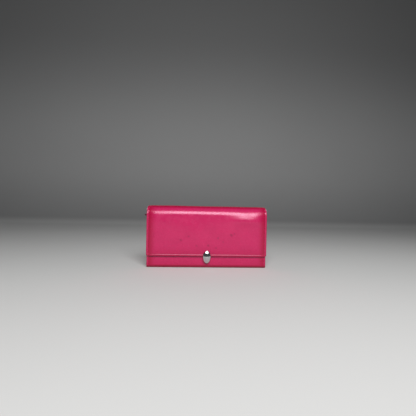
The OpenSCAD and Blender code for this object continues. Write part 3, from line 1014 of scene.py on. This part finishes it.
def polyline(points, drop=None):
    """Placing of an upright sheet that follows points in the XY plane. u is its height."""
    points = np.array(points, float)
    steps = np.linalg.norm(np.diff(points, axis=0), axis=1)
    along = np.concatenate([[0], np.cumsum(steps)])
    tangent = np.gradient(points, along, axis=0)
    tangent /= np.linalg.norm(tangent, axis=1, keepdims=True)

    def place(u, s, depth):
        x, y, tx, ty = (np.interp(s, along, v) for v in (*points.T, *tangent.T))
        z = u - (drop(u, s / along[-1]) if drop else 0 * u)
        normal = np.stack([ty, -tx, 0 * x], -1)
        return np.stack([x - depth * ty, y + depth * tx, z], -1), normal

    return place, along[-1]


GUSSET_REACH = 13.4
NOTCH = 5
NOTCH_FROM_Z = 62
NOTCH_RUN = 16


def fold_points(x, y0, y1, reach):
    """A V fold between two depths, rounded at its bottom."""
    t = np.linspace(-1, 1, 41)
    soft = 0.02
    out = (np.sqrt(t * t + soft) - math.sqrt(soft)) / (math.sqrt(1 + soft) - math.sqrt(soft))
    return [(x - reach * (1 - o), y0 + (y1 - y0) * (v + 1) / 2) for o, v in zip(out, t)]


def notch(u, t):
    """How far a gusset's upper edge drops towards its fold."""
    return NOTCH * smooth((u - NOTCH_FROM_Z) / NOTCH_RUN) * (1 - np.abs(2 * t - 1))


def folded(node, points, side, drop, step, count, thick, materials):
    """An upright folded sheet along points, on the left (-1) or the right (1)."""
    place, length = polyline(points, drop)
    if side < 0:
        place = mirrored(place, 0)
    low, high = box(node)
    us = lines(low[2], high[2], step, border=1.2)
    ss = np.linspace(0, length, count)
    return slab(f"{node}_fold", place, us, ss, thick, materials, depth=-thick / 2, edge=0.25)


def gusset(node, y0, y1, flange_y, bodies, side):
    """A folded side gusset between two panels."""
    low, high = box(node)
    half_t = LINING_T / 2
    x = max(abs(low[0]), abs(high[0])) - half_t
    points = fold_points(x, y0 + half_t, y1 - half_t, GUSSET_REACH)
    if flange_y:
        points += [(x, y) for y in np.linspace(y1 + 0.4, flange_y, 5)]
    piece = folded(node, points, side, notch, 2.5, 61, LINING_T, GUSSET_SET)
    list(bodies)
    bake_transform(piece)
    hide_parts(node)


def gussets():
    """Two rear gussets with flanges on the back, and two front ones."""
    rear_y = WALL_HIGH[1] + 0.3, box("card_slot_left_4")[0][1] - 0.2, box("gusset_rear_left")[1][1]
    for side, name in ((-1, "left"), (1, "right")):
        gusset(f"gusset_rear_{name}", *rear_y, ("back", "coin_pocket"), side)
        low, high = box(f"gusset_front_{name}")
        gusset(f"gusset_front_{name}", low[1], high[1], None, ("coin_pocket", "front_panel"), side)


def coin_walls():
    """The zipped pocket's two walls and their stitches."""
    for node, faces_back in (("coin_wall_rear", True), ("coin_wall_front", False)):
        corners = (0.8, 1.5) if faces_back else (1.5, 0.8)
        place, low, high = flat_sheet(node, "coin_pocket", faces_back, COIN_SET, corners)
        height = high[2] - low[2]
        top, bottom = (height - 2.6, 2.2) if faces_back else (2.6, height - 2.2)
        x = HALF_COIN - 2
        rows = [(-x, top, x, top), (-x, bottom, x, bottom), (-x, 5, -x, height - 5), (x, 5, x, height - 5)]
        sewn_sheet(node, place, rows, "coin_pocket")


def coin_floor():
    """The zipped pocket's cloth floor."""
    low, high = box("coin_floor")
    run = Run((low[1], low[2]), 0, [(high[1] - low[1], 0)])
    us = lines(low[0], high[0], 5, border=1.2)
    ss = lines(0, high[1] - low[1], 0.8, border=0.8)
    piece = slab("coin_floor_cloth", across(run), us, ss, high[2] - low[2], [POCKET_CLOTH] * 3, edge=0.3)
    settle(piece, "coin_pocket", "pocket_cloth", "coin_floor")


def coin_sides():
    """The pocket's ends, folded a little inwards."""
    for side, name in ((-1, "left"), (1, "right")):
        node = f"coin_side_{name}"
        low, high = box(node)
        x = max(abs(low[0]), abs(high[0])) - 0.35
        y = np.linspace(low[1], high[1], 17)
        points = [(x - 1.2 * math.cos(math.pi * v / (y[-1] - y[0])), v) for v in y]
        piece = folded(node, points, side, None, 3, 17, abs(high[0] - low[0]), COIN_SIDE_SET)
        settle(piece, "coin_pocket", "gusset_leather", node)


def zip_tapes():
    """Woven tapes whose lips turn in towards the teeth."""
    low, high = box("zip_tape_rear")
    lip = 0.6
    legs = [(high[2] - low[2] - lip, 0), arc(lip, 90), (high[1] - low[1] - lip, 0)]
    run = Run((high[1], low[2]), 90, legs)
    us = lines(low[0], high[0], 2.5, border=1.2)
    end = run.marks[-1]
    ss = np.unique(np.concatenate([lines(0, end, 1.2, border=0.8), np.linspace(run.marks[1], end, 9)]))
    for node, place in (("zip_tape_rear", across(run)), ("zip_tape_front", mirrored(across(run), 1))):
        piece = slab(f"{node}_cloth", place, us, ss, 0.5, [ZIP_TAPE] * 3, edge=0.2)
        settle(piece, "coin_pocket", "zip_tape", node)


# ---- sewing on the outside


def cover_stitches():
    """Stitches along the cover's border, one group for each piece of leather, on its face and on the
    lining's inner face.
    """
    inset = HALF_FLAP - WELT_W
    turn = 1.6
    for name, place, (s0, s1), _, _, bend in stretches():
        begin = BACK_S + 3 if name == "back" else s0
        stop = EDGE_S - WELT_W - turn if name == "flap" else s1
        rows = [(x, begin, x, stop) for x in (-inset, inset)]
        if name == "flap":
            s = EDGE_S - WELT_W
            rows += [(side * inset, s - turn, side * (inset - turn), s) for side in (-1, 1)]
            rows.append((-inset + turn, s, inset - turn, s))
        sewn = stitches(f"cover_{name}_stitches", place, rows, cover_relief)
        bend(sewn)
        inner = stitches(f"lining_{name}_stitches", place, rows, None, inner_face, -1)
        bend(inner)


def panel_stitches():
    """Stitches down the front panel's sides and along its foot."""
    inset = HALF_BODY - WELT_W
    s = PANEL_FOOT + 0.6 - WELT_W
    rows = [(x, 2.5, x, s - 1.6) for x in (-inset, inset)] + [(-inset + 1.5, s, inset - 1.5, s)]
    sewn = stitches("front_leather_stitches", panel_place, rows, panel_relief)
    settle(sewn, "front_panel", "cover_leather")


# ---- metal

DOME_WIDER = 0.65
DOME_LIFT = 1.2
DOME_CAP = 2.6
DOME_RIM = math.radians(72)
DOME_DROP = 1.5
# The dome's collar: (share of its width, distance behind the rim)
DOME_COLLAR = ((1.0, 0.12), (0.985, 0.3), (0.93, 0.4), (0.91, 0.6))


def clasp_dome():
    """The polished oval dome: a shallow cap, fullest a little below its middle, on a recessed collar."""
    low, high = box("clasp_dome")
    half_x = (high[0] - low[0]) / 2 + DOME_WIDER
    centre_z = (high[2] + low[2]) / 2 + DOME_LIFT
    half_z = (high[2] - low[2]) / 2 + DOME_WIDER / 2
    rim = high[1] - low[1] - DOME_CAP
    flat = math.cos(DOME_RIM)
    turns = np.linspace(0, 2 * math.pi, 96, endpoint=False)
    profile = []
    for a in np.linspace(0.0, DOME_RIM, 29)[1:]:
        rise = (math.cos(a) - flat) / (1 - flat)
        profile.append((math.sin(a) / math.sin(DOME_RIM), rim + DOME_CAP * rise, rise))
    profile += [(share, rim - behind, 0) for share, behind in DOME_COLLAR]
    profile += [(0.91, 0.3, 0), (0.94, 0.05, 0)]
    points = [(0, low[1], centre_z - DOME_DROP)]
    for share, rise, drop in profile:
        x = half_x * share * np.cos(turns) * (1 + 0.05 * np.sin(turns))
        z = centre_z + half_z * share * np.sin(turns) - DOME_DROP * drop
        points += [(a, high[1] - rise, b) for a, b in zip(x, z)]
    points.append((0, high[1], centre_z))
    faces = dome_faces(len(profile), len(turns))
    dome = sharpen(make_object("clasp_dome_shell", points, faces, [CLASP_METAL]))
    settle(dome, "flap", "clasp_metal", "clasp_dome")


def dome_faces(rings, count):
    """Faces of rings of points closed by a point at each end."""
    last = 1 + rings * count
    end = last - count
    faces = []
    for k in range(count):
        after = (k + 1) % count
        faces.append((0, 1 + k, 1 + after))
        for a in range(1, end, count):
            b = a + count
            faces.append((a + k, b + k, b + after, a + after))
        faces.append((end + k, last, end + after))
    return faces


def turned_piece(name, centre, axis, half_profile, material):
    """A turned part of the puller, alike at both ends, from (radius, distance from its middle) pairs."""
    rings = half_profile + [(r, -h) for r, h in half_profile[::-1]]
    turns = np.linspace(0, 2 * math.pi, 28, endpoint=False)
    local = [(0, 0, rings[0][1])]
    local += [(r * math.cos(t), r * math.sin(t), h) for r, h in rings[1:-1] for t in turns]
    local.append((0, 0, rings[-1][1]))
    local = np.array(local)
    if axis == 1:
        local = local[:, [0, 2, 1]]
    faces = dome_faces(len(rings) - 2, len(turns))
    return sharpen(make_object(name, local + np.array(centre), faces, [material]))


# The leather end of the puller: how far it stands past the tab, how high it curls, and its size
LOOP_PROUD = 2.0
LOOP_CURL = 0.5
LOOP_T = 0.5
LOOP_REACH = 4.4
LOOP_W = 3.0
LOOP_WIDE = 1.25
HOLE_X = 2.4


def pull_loop():
    """A dark leather end, folded over the puller's tab and riveted through its hole."""
    low, high = box("zip_pull")
    end, middle = low[0], (low[2] + high[2]) / 2
    flat = (high[2] - low[2]) / 2 + LOOP_T / 2
    centre = end - LOOP_PROUD + LOOP_T / 2 + LOOP_WIDE
    a = np.linspace(0, math.pi, 17)
    turn = zip(centre - LOOP_WIDE * np.sin(a), middle + LOOP_CURL - LOOP_WIDE * np.cos(a))
    back = np.linspace(end + LOOP_REACH, centre, 20)[:-1]
    gone = smooth((end + 1.3 - back) / 1.3)
    gap = flat + (LOOP_WIDE - flat) * gone
    rise = middle + LOOP_CURL * gone
    lower = zip(back, rise - gap)
    upper = zip(back[::-1], (rise + gap)[::-1])
    place, length = polyline([*lower, *turn, *upper])

    def lying(u, s, depth):
        p, n = place(u, s, depth)
        return p[..., [0, 2, 1]], n[..., [0, 2, 1]]

    us = lines(-LOOP_W / 2, LOOP_W / 2, 0.5, border=0.4)
    ss = np.linspace(0, length, 61)
    piece = slab("zip_pull_loop", lying, us, ss, LOOP_T, [PULL_LEATHER] * 3, depth=-LOOP_T / 2, edge=0.2)
    settle(piece, "zip_pull", "gusset_leather")
    loop_core(centre, middle + LOOP_CURL, LOOP_WIDE - LOOP_T / 2 + 0.03)
    loop_rivet(end + HOLE_X, middle, flat + LOOP_T / 2)


def loop_core(x, z, radius):
    """The rolled leather that fills the folded end."""
    half = LOOP_W / 2 + 0.1
    profile = [(0, half), (radius * 0.5, half), (radius * 0.85, half - 0.12), (radius, half - 0.4)]
    core = turned_piece("zip_pull_core", (x, 0, z), 1, profile, PULL_LEATHER)
    settle(core, "zip_pull", "gusset_leather")


def loop_rivet(x, z, half):
    """The rivet through the puller's hole, with a low domed head on each side."""
    profile = [(0.0, 0.42), (0.5, 0.38), (0.85, 0.26), (1.05, 0.1), (1.1, 0.0), (0.72, -0.02)]
    profile = [(r, half + h) for r, h in profile]
    rivet = turned_piece("zip_pull_rivet", (x, 0, z), 2, profile, ZIP_METAL)
    settle(rivet, "zip_pull", "zip_metal")


def refine_cad_nodes():
    """Gives the CAD nodes that stay in sight their finish."""
    finishes = (
        (BOARD, "back_board flap_board front_board"),
        (ZIP_METAL, "zip_teeth_rear zip_teeth_front zip_stops zip_slider zip_pull"),
        (SNAP_METAL, "clasp_backplate clasp_rivets snap_socket snap_stud snap_rivet snap_washer"),
        (CLASP_METAL, "snap_spring"),
    )
    for material, names in finishes:
        for name in names.split():
            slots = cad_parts[name].data.materials
            slots.clear()
            slots.append(material)


# ---- stage, light and camera

FLOOR_GREY = (0.68, 0.68, 0.67)
# Painted shade of the backdrop above the floor: the heights over which each grey begins, and the grey
WALL_SHADE_GREYS = ((-0.01, 0.035, 0.35), (0.05, 0.36, 0.44), (0.45, 1.2, 0.26))


def paper():
    """Matt backdrop paper, pale where it lies flat, with painted shade above: darker in the curve, lighter
    up the wall and darker towards its top.
    """
    material, tree = finish_of("paper", FLOOR_GREY, 0.9)
    place = node(tree, "TexCoord").outputs["Object"]
    height = node(tree, "SeparateXYZ", {0: place}).outputs["Z"]
    tone = FLOOR_GREY
    # painted shade up the curve and the wall
    for low, high, grey in WALL_SHADE_GREYS:
        tone = mixed(tree, ramped(tree, height, low, high), tone, (grey, grey, grey))
    cloud = noise_of(tree, place, 1.3, 3.0)
    tone = mixed(tree, ramped(tree, cloud, 0.3, 0.7, 0.0, 0.06), tone, (0.2, 0.2, 0.2))
    return finished(material, tone)


def sweep():
    """A paper sweep: floor, curve and wall."""
    near, far, radius, top = -1600.0, 1250.0, 300.0, 2600.0
    run = [(near, 0.0), (far - radius, 0.0)]
    for a in np.linspace(0, math.pi / 2, 17)[1:]:
        run.append((far - radius + radius * math.sin(a), radius - radius * math.cos(a)))
    run.append((far, top))
    xs = np.linspace(-3000, 3000, 5)
    points = [(x, y, z) for x in xs for y, z in run]
    make_object("sweep", points, grid_faces(len(xs), len(run), 0, False), [paper()])


def area_light(name, place, target, size, power):
    """A soft rectangular light, placed in metres, out of sight of the camera."""
    data = bpy.data.lights.new(name, "AREA")
    data.shape = "RECTANGLE"
    data.size, data.size_y = size
    data.energy = power
    light = bpy.data.objects.new(name, data)
    light.location = place
    light.visible_camera = False
    light.rotation_euler = (Vector(target) - Vector(place)).to_track_quat("-Z", "Y").to_euler()
    bpy.context.scene.collection.objects.link(light)
    return light


def lights():
    """A softbox above the camera, two fills behind that light only the wallet, and a dim room."""
    unlit = bpy.data.collections.new("stage_without_fill")
    unlit.objects.link(bpy.data.objects["sweep"])
    unlit.collection_objects[0].light_linking.link_state = "EXCLUDE"
    for name, side in (("fill_left", -1), ("fill_right", 1)):
        place = (side * 1.2, 0.85, 0.7)
        fill = area_light(name, place, target=(0, 0, 0.05), size=(0.7, 0.6), power=8)
        fill.light_linking.receiver_collection = unlit
    place = (0.08, -0.9, 0.76)
    area_light("softbox", place, target=(0, 0, 0.03), size=(0.76, 0.6), power=15.5)
    world = bpy.data.worlds.new("room")
    world.use_nodes = True
    background = world.node_tree.nodes["Background"].inputs
    background["Color"].default_value = (0.94, 0.97, 1, 1)
    background["Strength"].default_value = 0.08
    bpy.context.scene.world = world


CAMERA_AT = (-22.8, -447.7, 98.4)
CAMERA_AHEAD = (0.0536, 0.9986, -0.0024)
CAMERA_ROLL = 1.12
LENS = 23.28
SENSOR = 36


def camera():
    """The photograph's view: level, a little below the wallet's top and nearly square to it."""
    data = bpy.data.cameras.new("camera")
    data.lens = LENS
    data.sensor_width = SENSOR
    data.clip_start, data.clip_end = 0.01, 20
    made = bpy.data.objects.new("camera", data)
    bpy.context.scene.collection.objects.link(made)
    aimed = Vector(CAMERA_AHEAD).normalized().to_track_quat("-Z", "Y").to_matrix()
    turned = aimed @ Matrix.Rotation(math.radians(CAMERA_ROLL), 3, "Z")
    made.location = Vector(CAMERA_AT) * MM
    made.rotation_euler = turned.to_euler()
    bpy.context.scene.camera = made
    bpy.context.scene.view_settings.view_transform = "Standard"


camera()
sweep()
lights()
outer_cover()
cover_lining()
front_panel()
base_lining()
card_slots()
slip_pocket()
gussets()
coin_walls()
coin_floor()
coin_sides()
zip_tapes()
cover_stitches()
panel_stitches()
clasp_dome()
pull_loop()
refine_cad_nodes()
